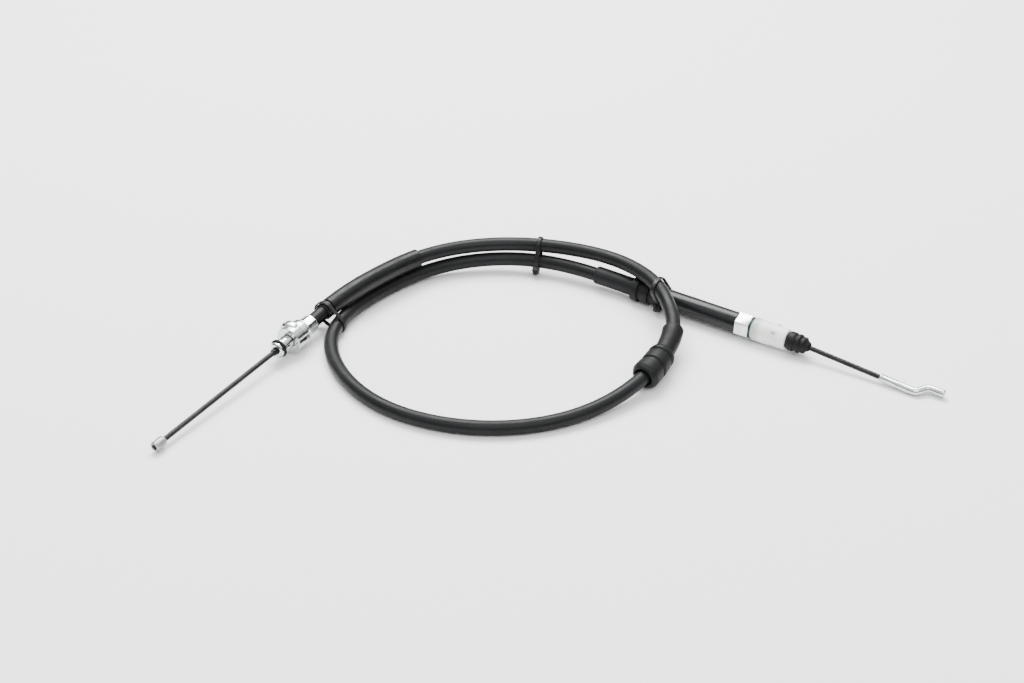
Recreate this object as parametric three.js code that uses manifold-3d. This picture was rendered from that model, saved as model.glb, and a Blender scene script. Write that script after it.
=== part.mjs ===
// A parking brake cable, laid out in one loose loop as it is sold.
// Millimetres, +Z up. The cable lies on the plane z = 0, its lever end to the left (-X), its brake end
// to the right (+X). The finished group is moved so that its origin lies under the middle of its box.

import * as THREE from 'three';
import { mergeVertices } from 'three/addons/utils/BufferGeometryUtils.js';
import Module from 'manifold-3d';

// Driving dimensions

const GAP = 0.3; // clearance between pieces that sit on or in each other

// Outer casing, from outside to inside, and the cable that slides in it
const CASING_DIAMETER = 10;
const JACKET_WALL = 1.1;
const WRAP_WALL = 0.7;
const LINER_WALL = 0.55;
const CABLE_DIAMETER = 3.5;
const CASING_SIDES = 12;
const CABLE_SIDES = 8;
const CASING_STEP = 20; // two diameters

// The route of the casing's centre line, from the stop collar at the lever end to the clip at the
// brake end. The line is a uniform cubic B-spline: it runs near these points, and through none.
const ROUTE = [
  [-148.7, -12.9, 11.03], [-138.0, 4.0, 11.92], [-127.3, 20.9, 14.1], [-110.7, 37.6, 19.2], [-90, 62.2, 18.8],
  [-65.4, 86.6, 18.4], [-33, 100.2, 18.9], [5, 101.5, 20.1], [43, 92, 21.3], [78, 73, 22.6],
  [101, 40.5, 23.9], [107.5, 13, 22], [111.2, -9.5, 16.4], [101, -35, 12.4], [88, -60, 11.2],
  [66, -82.5, 7], [34, -103, 5], [-8, -112.8, 5], [-52, -106, 5], [-90, -84, 5],
  [-115, -48, 5], [-125.5, -10.3, 5.2], [-119.2, 18.8, 7.5], [-96.6, 55.6, 5], [-64.4, 85.5, 6.3],
  [-30, 96.8, 8.9], [8, 97.3, 10.3], [45, 84.2, 10.4], [81.6, 60.1, 9.4], [106.3, 43.2, 9.1],
  [131.1, 26.2, 9.1], [155.8, 9.2, 9.1], [167.3, 1.2, 9.1],
];

// Lever end: places are measured along its straight line, towards the casing
const LEVER_POINT = [-148.7, -12.9, 11.03];
const LEVER_AZIMUTH = 57.5;
const LEVER_SLOPE = 2.55;
const STROKE = 30; // how far the lever draws the cable out
const NIPPLE_DIAMETER = 6.8;
const NIPPLE_LENGTH = 8.8;
const NIPPLE_START = -140;
const NIPPLE_CHAMFER = 0.6;
const CABLE_RECESS = 1; // the cable ends this far inside the nipple's face
const NOSE_START = -18;
const NOSE_DIAMETER = 11.4;
const NOSE_LENGTH = 2.2;
const RING_SECTION = 2.3; // rubber ring
const RING_OUTER = 13.2;
const BODY_DIAMETER = 10.4;
const NECK_DIAMETER = 8;
const BUSH_DIAMETER = 4.8;
const BUSH_LENGTH = 11;
const BUSH_PROUD = 2.6;
const FLANGE_START = -4.2;
const FLANGE_DIAMETER = 19.4;
const FLANGE_THICKNESS = 1.4;
const COLLAR_DIAMETER = 18.2;
const COLLAR_LENGTH = 11.2;
const LOBE_DIAMETER = 17; // off-centre lobe on the collar's side, against turning
const LOBE_OFFSET = 3.2;
const LOBE_LENGTH = 7;
const LOBE_ANGLE = 42.5; // degrees
const LOCK_RING_DIAMETER = 16.4;
const LOCK_RING_LENGTH = 2.6;
const SKIRT_FLATS = 12; // octagonal crimp on the casing
const SKIRT_LENGTH = 9.8;
const SKIRT_TURN = 0; // degrees
const SKIRT_WALL = 1.2; // end wall that stops the casing
const SHOULDER_CHAMFER = 0.5;

// Thick protective sleeve behind the lever end; places are run along the casing's centre line
const END_RING_START = 34.4;
const END_RING_DIAMETER = 12.2;
const SLEEVE_START = 41;
const SLEEVE_LENGTH = 85;
const SLEEVE_DIAMETER = 13.2;

// Rubber grommets on the casing
const FRONT_GROMMET_START = 372;
const FRONT_SLEEVE_DIAMETER = 14.6;
const FRONT_SLEEVE_LENGTH = 26;
const FRONT_RIM_DIAMETER = 18.9;
const FRONT_HEAD_DIAMETER = 19.6;
const REAR_GROMMET_START = -85; // from the tube's point, as on the brake end
const REAR_SLEEVE_DIAMETER = 12.8;
const REAR_SLEEVE_LENGTH = 30.8;
const REAR_RIM_DIAMETER = 17.6;
const GROMMET_MOUTH = 12.6;

// Brake end: places are measured along the straight line of the guide tube, towards the hook
const BRAKE_POINT = [131.1, 26.2, 9.1];
const BRAKE_AZIMUTH = -34.5;
const TUBE_START = -30;
const TUBE_LENGTH = 59.7;
const TUBE_DIAMETER = 14.5;
const TUBE_BORE = 11;
const HEX_FLATS = 15.4;
const HEX_LENGTH = 10.4;
const HEX_TURN = 25; // degrees
const HEX_WALL = 3; // end wall that stops the casing
const SEAL_LENGTH = 1;
const SEAL_DIAMETER = 14.6;
const CLIP_DIAMETER = 16;
const CLIP_HEAD_LENGTH = 11.4;
const CLIP_TAIL_LENGTH = 14.3;
const CLIP_TAIL_DIAMETER = 14.6;
const CLIP_BORE = 9.6;
const CLIP_NUB = 1.6;
const BOOT_DIAMETER = 13.4;
const BOOT_LENGTH = 16.2;
const BOOT_RIB_DIAMETER = 11.4;
const BOOT_WAIST_DIAMETER = 10.8;
const BOOT_TIP_DIAMETER = 5.8;

// The brake end's bare cable leaves the boot at a slight dip, and ends in a cranked hook
const DIP_ANGLE = 4.5;
const DIP_DROP = 0.54;
const HIDDEN_CABLE = 12;
const BARE_CABLE = 52.2;
const HOOK_DIAMETER = 5.4;
const HOOK_SOCKET = 11;
const HOOK_ROUTE = [
  [0, 0, 0], [10, -0.2, 0], [18, -0.4, 0], [22.6, -0.6, 0.2], [25.6, -0.9, 0.5], [27.8, 1.6, 0.9],
  [29.6, 4.9, 1.5], [31.6, 6.9, 1.9], [35.5, 6.6, 2.2], [39, 6.6, 2.4], [43.1, 6.6, 2.5],
];

// Cable ties
const TIE_WIDTH = 3;
const TIE_THICKNESS = 1;
const TIE_SLACK = 0.35;
const TIE_HEAD = [5.4, 4.4, 5.2];
const TIE_TAIL = [1.2, 3, 3];
const BACK_TIE_RUN = 218;
const BACK_TIE_LOWER_RUN = 906;
const LEFT_TIE_RUN = 35.8;
const LEFT_TIE_LOOP_RUN = 733;
const RIGHT_TIE_RUN = 325;
const BACK_TIE_AZIMUTH = 75;
const LEFT_TIE_AZIMUTH = -29;
const RIGHT_TIE_AZIMUTH = 55.5;

// Radii that follow from the sizes above

const jacketOuter = CASING_DIAMETER / 2;
const jacketInner = jacketOuter - JACKET_WALL;
const wrapOuter = jacketInner - GAP;
const wrapInner = wrapOuter - WRAP_WALL;
const linerOuter = wrapInner - GAP;
const linerInner = linerOuter - LINER_WALL;
const cableRadius = CABLE_DIAMETER / 2;
const cableBore = cableRadius + GAP;
const casingBore = jacketOuter + GAP;

// Materials

const paint = (color, roughness, metalness = 0) =>
  new THREE.MeshStandardMaterial({ color, roughness, metalness });
const materials = {
  jacket: paint(0x1b1d1f, 0.42),
  steelWrap: paint(0x8c8f92, 0.4, 1),
  liner: paint(0xd8d8d2, 0.5),
  coatedCable: paint(0x0d0d0e, 0.45),
  zinc: paint(0xd6d9da, 0.2, 1),
  dieCast: paint(0x8b8c8c, 0.55, 0.8),
  rubber: paint(0x1c1d1f, 0.6),
  sleeve: paint(0x17181a, 0.5),
  tube: paint(0x101112, 0.28),
  seal: paint(0x1b2a22, 0.5),
  clip: paint(0xd5d9d2, 0.35),
  tie: paint(0x0c0c0d, 0.45),
};

// Joining and cutting closed meshes

const wasm = await Module();
wasm.setup();

function toSolid(geometry) {
  const bare = geometry.clone();
  bare.deleteAttribute('normal');
  bare.deleteAttribute('uv');
  const merged = mergeVertices(bare, 1e-5);
  const vertProperties = new Float32Array(merged.attributes.position.array);
  const triVerts = new Uint32Array(merged.index.array);
  return new wasm.Manifold(new wasm.Mesh({ numProp: 3, vertProperties, triVerts }));
}

function toGeometry(solid) {
  const mesh = solid.getMesh();
  const geometry = new THREE.BufferGeometry();
  geometry.setAttribute('position', new THREE.BufferAttribute(new Float32Array(mesh.vertProperties), 3));
  geometry.setIndex(new THREE.BufferAttribute(new Uint32Array(mesh.triVerts), 1));
  geometry.computeVertexNormals();
  return geometry;
}

const cut = (base, ...tools) => toGeometry(tools.reduce((s, t) => s.subtract(toSolid(t)), toSolid(base)));
const join = (base, ...others) => toGeometry(others.reduce((s, o) => s.add(toSolid(o)), toSolid(base)));

// Plain shapes about the Z axis

// Turns a closed outline of [radius, z] points about the Z axis.
function turned(outline, sides = 24) {
  const points = [...outline, outline[0]].map(([r, z]) => new THREE.Vector2(r, z));
  return new THREE.LatheGeometry(points, sides).rotateX(Math.PI / 2);
}

// A round bar with a bore, from z0 to z1.
const ring = (outer, bore, z0, z1, sides = 24) =>
  turned([[bore, z0], [outer, z0], [outer, z1], [bore, z1]], sides);

// A solid round bar, used as a cutter.
function bar(radius, z0, z1, sides = 24) {
  const points = [[0, z0], [radius, z0], [radius, z1], [0, z1]].map(([r, z]) => new THREE.Vector2(r, z));
  return new THREE.LatheGeometry(points, sides).rotateX(Math.PI / 2);
}

// A closed polygon as a list of points, with its corners on a circle.
function polygon(radius, sides, start = 0) {
  return Array.from({ length: sides }, (_, i) => {
    const angle = start + (i * 2 * Math.PI) / sides;
    return new THREE.Vector2(radius * Math.cos(angle), radius * Math.sin(angle));
  });
}

// A prism on the Z axis with flat sides, given across its flats.
function prism(flats, sides, z0, z1, start = 0) {
  const shape = new THREE.Shape(polygon(flats / 2 / Math.cos(Math.PI / sides), sides, start));
  return new THREE.ExtrudeGeometry(shape, { depth: z1 - z0, bevelEnabled: false }).translate(0, 0, z0);
}

function section(outer, inner, sides) {
  const shape = new THREE.Shape(polygon(outer, sides));
  if (inner) shape.holes.push(new THREE.Path(polygon(inner, sides).reverse()));
  return shape;
}

// The casing's line

class Spline extends THREE.Curve {
  constructor(points) {
    super();
    const p = points.map((xyz) => new THREE.Vector3(...xyz));
    const before = p[0].clone().multiplyScalar(2).sub(p[1]);
    const after = p.at(-1).clone().multiplyScalar(2).sub(p.at(-2));
    this.control = [before, ...p, after];
    this.arcLengthDivisions = 60 * p.length;
  }

  getPoint(t, target = new THREE.Vector3()) {
    const spans = this.control.length - 3;
    const i = Math.min(Math.floor(t * spans), spans - 1);
    const u = t * spans - i;
    const weights = [(1 - u) ** 3, 3 * u ** 3 - 6 * u ** 2 + 4, -3 * u ** 3 + 3 * u ** 2 + 3 * u + 1, u ** 3];
    target.set(0, 0, 0);
    weights.forEach((w, k) => target.addScaledVector(this.control[i + k], w / 6));
    return target;
  }
}

const route = new Spline(ROUTE);
const routeLength = route.getLength();
const pointAtRun = (run) => route.getPointAt(THREE.MathUtils.clamp(run / routeLength, 0, 1));
const tangentAtRun = (run) => route.getTangentAt(THREE.MathUtils.clamp(run / routeLength, 0, 1));

// Stations along the casing, the same for every layer, so that the facets of all layers lie parallel.
const stationRuns = [0];
while (stationRuns.at(-1) + CASING_STEP < routeLength) stationRuns.push(stationRuns.at(-1) + CASING_STEP);
stationRuns.push(routeLength);

// The part of the casing's line between two runs, as straight pieces between the stations.
class CasingLine extends THREE.Curve {
  constructor(from, to) {
    super();
    this.runs = [from, ...stationRuns.filter((run) => run > from + 1 && run < to - 1), to];
  }

  runOf(u) {
    const place = u * (this.runs.length - 1);
    const i = Math.min(Math.floor(place + 1e-9), this.runs.length - 2);
    return THREE.MathUtils.lerp(this.runs[i], this.runs[i + 1], place - i);
  }

  getPoint(u) { return pointAtRun(this.runOf(u)); }
  getPointAt(u) { return this.getPoint(u); }
  getTangentAt(u) { return tangentAtRun(this.runOf(u)); }
}

function casingTube(outer, inner, sides, from, to) {
  const line = new CasingLine(from, to);
  const steps = line.runs.length - 1;
  return new THREE.ExtrudeGeometry(section(outer, inner, sides), { steps, extrudePath: line });
}

const wholeLine = new CasingLine(0, routeLength);
const frames = wholeLine.computeFrenetFrames(stationRuns.length - 1);
const stations = stationRuns.map((run) => pointAtRun(run));

// The faceted casing's centre and directions at a run along it.
function onCasing(run) {
  const after = stationRuns.findIndex((r) => r > run);
  const i = (after < 0 ? stationRuns.length - 1 : Math.max(after, 1)) - 1;
  const f = (run - stationRuns[i]) / (stationRuns[i + 1] - stationRuns[i]);
  const mix = (list) => list[i].clone().lerp(list[i + 1], f);
  const along = stations[i + 1].clone().sub(stations[i]).normalize();
  return { centre: mix(stations), x: mix(frames.normals), y: mix(frames.binormals), along };
}

// Turns an outline of [radius, run] points about the casing, bending it along the casing's facets.
function onRoute(outline, sides = 24) {
  const fine = [];
  [...outline, outline[0]].forEach((point, i, all) => {
    if (i === 0) { fine.push(point); return; }
    const [r0, s0] = all[i - 1];
    const [r1, s1] = point;
    const between = stationRuns.filter((run) => run > Math.min(s0, s1) + 0.5 && run < Math.max(s0, s1) - 0.5);
    if (s1 < s0) between.reverse();
    between.forEach((run) => fine.push([THREE.MathUtils.lerp(r0, r1, (run - s0) / (s1 - s0)), run]));
    fine.push(point);
  });
  const points = fine.map(([r, run]) => new THREE.Vector2(r, run));
  const geometry = new THREE.LatheGeometry(points, sides).rotateX(Math.PI / 2);
  const position = geometry.attributes.position;
  for (let i = 0; i < position.count; i += 1) {
    const at = onCasing(position.getZ(i));
    const p = at.centre.addScaledVector(at.x, position.getX(i)).addScaledVector(at.y, position.getY(i));
    position.setXYZ(i, p.x, p.y, p.z);
  }
  geometry.computeVertexNormals();
  return geometry;
}

// The two straight ends

// A group whose +Z runs along a straight end, from a point, at an azimuth and a slope in degrees.
function endGroup(point, azimuth, slope) {
  const a = THREE.MathUtils.degToRad(azimuth);
  const e = THREE.MathUtils.degToRad(slope);
  const along = new THREE.Vector3(Math.cos(a) * Math.cos(e), Math.sin(a) * Math.cos(e), Math.sin(e));
  const side = new THREE.Vector3(-Math.sin(a), Math.cos(a), 0);
  const up = along.clone().cross(side);
  const group = new THREE.Group();
  group.position.set(...point);
  group.setRotationFromMatrix(new THREE.Matrix4().makeBasis(side, up, along));
  return group;
}

const leverEnd = endGroup(LEVER_POINT, LEVER_AZIMUTH, LEVER_SLOPE);
const brakeEnd = endGroup(BRAKE_POINT, BRAKE_AZIMUTH, 0);

function mesh(name, geometry, material) {
  const piece = new THREE.Mesh(geometry, material);
  piece.name = name;
  return piece;
}

// Lever end pieces

const bushStart = NOSE_START - BUSH_PROUD;
const collarStart = FLANGE_START + FLANGE_THICKNESS;
const collarEnd = collarStart + COLLAR_LENGTH;
const neckEnd = collarEnd + GAP + LOCK_RING_LENGTH + GAP;
const skirtEnd = neckEnd + SKIRT_LENGTH;
const casingStart = neckEnd + SKIRT_WALL + GAP;
const leverCableEnd = bushStart + BUSH_LENGTH + STROKE + 1;

function nipple() {
  const end = NIPPLE_START + NIPPLE_LENGTH;
  const r = NIPPLE_DIAMETER / 2;
  return turned([
    [cableBore, NIPPLE_START], [r - NIPPLE_CHAMFER, NIPPLE_START], [r, NIPPLE_START + NIPPLE_CHAMFER],
    [r, end - NIPPLE_CHAMFER], [r - NIPPLE_CHAMFER, end], [cableBore, end],
  ]);
}

function leverEndBody() {
  const nose = NOSE_DIAMETER / 2;
  const body = BODY_DIAMETER / 2;
  const neck = NECK_DIAMETER / 2;
  const grooveStart = NOSE_START + NOSE_LENGTH;
  const grooveEnd = grooveStart + RING_SECTION + 2 * GAP;
  const groove = RING_OUTER / 2 - RING_SECTION - GAP;
  const shoulder = FLANGE_START - GAP;
  const bushBore = BUSH_DIAMETER / 2 + GAP;
  const bushSeat = bushStart + BUSH_LENGTH + GAP;
  const c = SHOULDER_CHAMFER;
  const barrel = turned([
    [bushBore, NOSE_START], [nose - c, NOSE_START], [nose, NOSE_START + c], [nose, grooveStart],
    [groove, grooveStart], [groove, grooveEnd], [nose, grooveEnd], [nose, grooveEnd + 1],
    [body, grooveEnd + 1 + c], [body, shoulder], [neck, shoulder], [neck, neckEnd + c],
    [cableBore, neckEnd + c], [cableBore, bushSeat], [bushBore, bushSeat],
  ]);
  const skirt = prism(SKIRT_FLATS, 8, neckEnd, skirtEnd, THREE.MathUtils.degToRad(SKIRT_TURN));
  const casingHole = bar(casingBore, neckEnd + SKIRT_WALL, skirtEnd + 1);
  return cut(join(barrel, skirt), bar(cableBore, neckEnd - 1, skirtEnd + 1), casingHole);
}

function leverRing() {
  const radius = RING_SECTION / 2;
  const z = NOSE_START + NOSE_LENGTH + GAP + radius;
  return new THREE.TorusGeometry(RING_OUTER / 2 - radius, radius, 10, 24).translate(0, 0, z);
}

function stopFlange() {
  const bore = NECK_DIAMETER / 2 + GAP;
  const clear = BODY_DIAMETER / 2 + 2 * GAP;
  const rim = FLANGE_DIAMETER / 2;
  const collar = COLLAR_DIAMETER / 2;
  const c = SHOULDER_CHAMFER;
  const body = turned([
    [bore, FLANGE_START], [clear, FLANGE_START], [rim - c / 2, FLANGE_START], [rim, FLANGE_START + c / 2],
    [rim, collarStart], [collar, collarStart], [collar, collarEnd - c], [collar - c, collarEnd],
    [bore, collarEnd],
  ], 32);
  return join(body, collarLobe());
}

// A round lobe beside the collar's axis, with both its edges sloped.
function collarLobe() {
  const r = LOBE_DIAMETER / 2;
  const start = collarStart + 1.6;
  const end = start + LOBE_LENGTH;
  const bore = NECK_DIAMETER / 2 + GAP;
  const slope = LOBE_OFFSET / 2;
  const disc = turned([[0, start], [r - slope, start], [r, start + slope], [r, end - slope],
    [r - slope, end], [0, end]], 32);
  const a = THREE.MathUtils.degToRad(LOBE_ANGLE);
  disc.translate(LOBE_OFFSET * Math.cos(a), LOBE_OFFSET * Math.sin(a), 0);
  return cut(disc, bar(bore + 1, start - 1, end + 1, 32));
}

function lockRing() {
  const bore = NECK_DIAMETER / 2 + GAP;
  const start = collarEnd + GAP;
  const r = LOCK_RING_DIAMETER / 2;
  const outline = [[bore, start]];
  const ribs = 3;
  const pitch = LOCK_RING_LENGTH / ribs;
  for (let i = 0; i < ribs; i += 1) {
    const z = start + i * pitch;
    outline.push([r - 0.4, z], [r, z + pitch / 3], [r, z + (2 * pitch) / 3]);
  }
  outline.push([r - 0.4, start + LOCK_RING_LENGTH], [bore, start + LOCK_RING_LENGTH]);
  return turned(outline);
}

leverEnd.add(
  mesh('cable_nipple', nipple(), materials.dieCast),
  mesh('inner_cable_lever_end', bar(cableRadius, NIPPLE_START + CABLE_RECESS, leverCableEnd, CABLE_SIDES),
    materials.coatedCable),
  mesh('lever_end_bush', ring(BUSH_DIAMETER / 2, cableBore, bushStart, bushStart + BUSH_LENGTH, 16),
    materials.tube),
  mesh('lever_end_body', leverEndBody(), materials.zinc),
  mesh('lever_end_seal_ring', leverRing(), materials.rubber),
  mesh('stop_flange_collar', stopFlange(), materials.zinc),
  mesh('collar_lock_ring', lockRing(), materials.zinc),
);

// Pieces on the casing

const tubeRun = (place) => routeLength - brakeRouteEnd() + place;
function brakeRouteEnd() {
  const end = new THREE.Vector3(...ROUTE.at(-1));
  return end.distanceTo(new THREE.Vector3(...BRAKE_POINT));
}

const hexStart = TUBE_START + TUBE_LENGTH + GAP;
const hexEnd = hexStart + HEX_LENGTH;
const casingEnd = tubeRun(hexEnd - HEX_WALL - GAP);

function sleeve() {
  const r = SLEEVE_DIAMETER / 2;
  const end = SLEEVE_START + SLEEVE_LENGTH;
  return onRoute([
    [casingBore, SLEEVE_START], [r - 0.5, SLEEVE_START], [r, SLEEVE_START + 0.5],
    [r, end - 0.5], [r - 0.5, end], [casingBore, end],
  ]);
}

function frontGrommet() {
  const s = FRONT_GROMMET_START;
  const tube = FRONT_SLEEVE_DIAMETER / 2;
  const rim = FRONT_RIM_DIAMETER / 2;
  const head = FRONT_HEAD_DIAMETER / 2;
  const mouth = GROMMET_MOUTH / 2;
  const n = s + FRONT_SLEEVE_LENGTH;
  return onRoute([
    [casingBore, s], [tube - 0.6, s], [tube, s + 1], [tube - 0.4, n], [rim - 0.8, n + 1], [rim - 0.2, n + 3],
    [rim - 0.2, n + 5], [rim - 1.3, n + 5.8], [rim - 1.3, n + 7.2], [rim, n + 8], [rim + 0.2, n + 16],
    [rim - 1, n + 16.8], [rim - 1, n + 18.8], [head, n + 19.6], [head, n + 26.5], [head - 1.4, n + 29],
    [mouth + 1, n + 30], [mouth, n + 29.6], [casingBore, n + 25],
  ]);
}

function rearGrommet() {
  const s = tubeRun(REAR_GROMMET_START);
  const tube = REAR_SLEEVE_DIAMETER / 2;
  const rim = REAR_RIM_DIAMETER / 2;
  const n = s + REAR_SLEEVE_LENGTH;
  const end = tubeRun(TUBE_START) - GAP;
  return onRoute([
    [casingBore, s], [tube - 0.6, s], [tube, s + 1], [tube, n], [rim, n + 1], [rim, n + 6],
    [rim - 1.6, n + 6.6], [rim - 1.6, n + 8], [rim - 0.4, n + 8.6], [rim - 0.4, n + 14.6],
    [rim - 1.8, n + 15.2], [rim - 1.8, n + 17], [rim - 1.2, n + 17.6], [rim - 1.2, n + 21],
    [rim - 1.8, n + 21.6], [rim - 1.8, end], [casingBore, end],
  ]);
}

const brakeCableGap = tubeRun(hexEnd + SEAL_LENGTH + GAP);

const casing = new THREE.Group();
casing.add(
  mesh('casing_jacket', casingTube(jacketOuter, jacketInner, CASING_SIDES, casingStart, casingEnd),
    materials.jacket),
  mesh('casing_wire_wrap', casingTube(wrapOuter, wrapInner, CASING_SIDES, casingStart, casingEnd),
    materials.steelWrap),
  mesh('casing_liner', casingTube(linerOuter, linerInner, CABLE_SIDES, casingStart, casingEnd),
    materials.liner),
  mesh('inner_cable', casingTube(cableRadius, 0, CABLE_SIDES, leverCableEnd + GAP, brakeCableGap),
    materials.coatedCable),
  mesh('sleeve_end_ring',
    onRoute([[casingBore, END_RING_START], [END_RING_DIAMETER / 2, END_RING_START],
      [END_RING_DIAMETER / 2, SLEEVE_START - GAP], [casingBore, SLEEVE_START - GAP]]),
    materials.rubber),
  mesh('protective_sleeve', sleeve(), materials.sleeve),
  mesh('front_grommet', frontGrommet(), materials.rubber),
  mesh('rear_grommet', rearGrommet(), materials.rubber),
);

// Brake end pieces

const sealStart = hexEnd + GAP;
const clipStart = sealStart + SEAL_LENGTH + GAP;
const clipWaist = clipStart + CLIP_HEAD_LENGTH;
const clipEnd = clipWaist + CLIP_TAIL_LENGTH;
const bootStart = clipEnd + GAP;
const bootEnd = bootStart + BOOT_LENGTH;

const brakeCable = new THREE.Group();
brakeCable.position.set(0, -DIP_DROP, bootEnd);
brakeCable.rotation.x = THREE.MathUtils.degToRad(DIP_ANGLE);

// The straight line of the bare cable as a cutter, in the brake end's own frame.
function dippedBar(radius, z0, z1, sides) {
  brakeCable.updateMatrix();
  return bar(radius, z0, z1, sides).applyMatrix4(brakeCable.matrix);
}

function hexFerrule() {
  const body = prism(HEX_FLATS, 6, hexStart, hexEnd, THREE.MathUtils.degToRad(HEX_TURN));
  return cut(body, bar(casingBore, hexStart - 1, hexEnd - HEX_WALL), bar(cableBore, hexStart, hexEnd + 1, 16));
}

function clip() {
  const head = CLIP_DIAMETER / 2;
  const tail = CLIP_TAIL_DIAMETER / 2;
  const bore = CLIP_BORE / 2;
  const body = turned([
    [bore, clipStart], [head - 0.5, clipStart], [head, clipStart + 0.6], [head, clipWaist - 0.6],
    [head - 0.4, clipWaist], [tail, clipEnd], [bore, clipEnd],
  ]);
  const nubs = [];
  for (let i = 0; i < 4; i += 1) {
    const nub = new THREE.BoxGeometry(CLIP_NUB, CLIP_NUB, 2 * CLIP_NUB);
    nub.translate(head - 0.4, 0, clipWaist + CLIP_TAIL_LENGTH / 3).rotateZ(Math.PI / 4 + (i * Math.PI) / 2);
    nubs.push(nub);
  }
  return join(body, ...nubs);
}

function boot() {
  const r = BOOT_DIAMETER / 2;
  const rib = BOOT_RIB_DIAMETER / 2;
  const waist = BOOT_WAIST_DIAMETER / 2;
  const tip = BOOT_TIP_DIAMETER / 2;
  const bore = CLIP_BORE / 2;
  const s = bootStart;
  const end = bootEnd;
  const body = turned([
    [bore, s], [r - 1, s], [r, s + 1.6], [r, s + 5], [r - 0.8, s + 6.2], [r - 0.1, s + 7.4],
    [r - 0.1, s + 9.2], [waist, s + 10.2], [rib, s + 11.2], [rib, s + 12.8], [tip + 1.3, s + 14],
    [tip + 0.7, s + 15], [tip, end], [0, end], [0, end - 4], [bore, end - 5],
  ]);
  return cut(body, dippedBar(cableBore, -14, 3, 16));
}

brakeEnd.add(
  mesh('guide_tube', ring(TUBE_DIAMETER / 2, TUBE_BORE / 2, TUBE_START, TUBE_START + TUBE_LENGTH),
    materials.tube),
  mesh('hex_crimp_ferrule', hexFerrule(), materials.zinc),
  mesh('ferrule_seal', ring(SEAL_DIAMETER / 2, CLIP_BORE / 2, sealStart, sealStart + SEAL_LENGTH),
    materials.seal),
  mesh('snap_clip', clip(), materials.clip),
  mesh('brake_end_boot', boot(), materials.rubber),
  brakeCable,
);

function hook() {
  const path = new Spline(HOOK_ROUTE.map(([along, side, up]) => [side, up, along]));
  const shape = section(HOOK_DIAMETER / 2, 0, 12);
  const rod = new THREE.ExtrudeGeometry(shape, { steps: 26, extrudePath: path });
  return cut(rod.translate(0, 0, BARE_CABLE), bar(cableBore, BARE_CABLE - 1, BARE_CABLE + HOOK_SOCKET));
}

brakeCable.add(
  mesh('inner_cable_brake_end',
    bar(cableRadius, -HIDDEN_CABLE, BARE_CABLE + HOOK_SOCKET - GAP, CABLE_SIDES), materials.coatedCable),
  mesh('brake_hook', hook(), materials.zinc),
);

// Cable ties

// The outline that a stretched band takes round a set of points.
function hull(points) {
  const sorted = [...points].sort((a, b) => a.x - b.x || a.y - b.y);
  const turn = (o, a, b) => (a.x - o.x) * (b.y - o.y) - (a.y - o.y) * (b.x - o.x);
  const half = (list) => {
    const out = [];
    list.forEach((p) => {
      while (out.length > 1 && turn(out.at(-2), out.at(-1), p) <= 1e-6) out.pop();
      out.push(p);
    });
    out.pop();
    return out;
  };
  return [...half(sorted), ...half(sorted.reverse())];
}

// Where a round member crosses the tie's plane, as points of its outline grown by an amount.
function crossing(member, origin, x, y, normal, grow) {
  const slant = Math.abs(member.along.dot(normal));
  const major = new THREE.Vector2(member.along.dot(x), member.along.dot(y));
  const angle = major.length() > 1e-6 ? major.angle() : 0;
  const offset = member.centre.clone().sub(origin);
  const middle = new THREE.Vector2(offset.dot(x), offset.dot(y));
  return Array.from({ length: 24 }, (_, i) => {
    const a = (i * Math.PI) / 12;
    const p = new THREE.Vector2((member.radius / slant + grow) * Math.cos(a), (member.radius + grow) * Math.sin(a));
    return p.rotateAround(new THREE.Vector2(), angle).add(middle);
  });
}

// Slides a round member's centre along its line until it lies in the tie's plane.
function inPlane(member, origin, normal) {
  const run = origin.clone().sub(member.centre).dot(normal) / member.along.dot(normal);
  return { ...member, centre: member.centre.clone().addScaledVector(member.along, run) };
}

// A tie round several round members, in an upright plane. Its head sits on one of the members.
function tie(name, members, azimuth, headOn, headAngle) {
  const a = THREE.MathUtils.degToRad(azimuth);
  const x = new THREE.Vector3(Math.cos(a), Math.sin(a), 0);
  const y = new THREE.Vector3(0, 0, 1);
  const normal = x.clone().cross(y);
  const origin = members[0].centre.clone();
  const faces = [-TIE_WIDTH / 2, TIE_WIDTH / 2].map((out) => origin.clone().addScaledVector(normal, out));
  const placed = members.flatMap((member) => faces.map((face) => inPlane(member, face, normal)));
  const around = (grow) => hull(placed.flatMap((member) => crossing(member, origin, x, y, normal, grow)));
  const inner = around(TIE_SLACK);
  const outer = around(TIE_SLACK + TIE_THICKNESS);
  const shape = new THREE.Shape(outer);
  shape.holes.push(new THREE.Path([...inner].reverse()));
  const band = new THREE.ExtrudeGeometry(shape, { depth: TIE_WIDTH, bevelEnabled: false });
  band.translate(0, 0, -TIE_WIDTH / 2);
  const h = THREE.MathUtils.degToRad(headAngle);
  const out = new THREE.Vector2(Math.cos(h), Math.sin(h));
  const held = inPlane(members[headOn], origin, normal);
  const offset = held.centre.clone().sub(origin);
  const far = new THREE.Vector2(offset.dot(x), offset.dot(y));
  far.addScaledVector(out, held.radius + TIE_SLACK + TIE_THICKNESS);
  const head = new THREE.BoxGeometry(TIE_HEAD[1], TIE_HEAD[0], TIE_HEAD[2]);
  head.translate(TIE_HEAD[1] / 2 - TIE_THICKNESS / 2, 0, 0).rotateZ(h).translate(far.x, far.y, 0);
  const tail = new THREE.BoxGeometry(TIE_TAIL[1], TIE_TAIL[0], TIE_TAIL[2]);
  tail.translate(TIE_HEAD[1] + TIE_TAIL[1] / 2 - 1, 0, 0).rotateZ(h).translate(far.x, far.y, 0);
  const piece = mesh(name, join(band, head, tail), materials.tie);
  piece.position.copy(origin);
  piece.setRotationFromMatrix(new THREE.Matrix4().makeBasis(x, y, normal));
  return piece;
}

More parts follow.
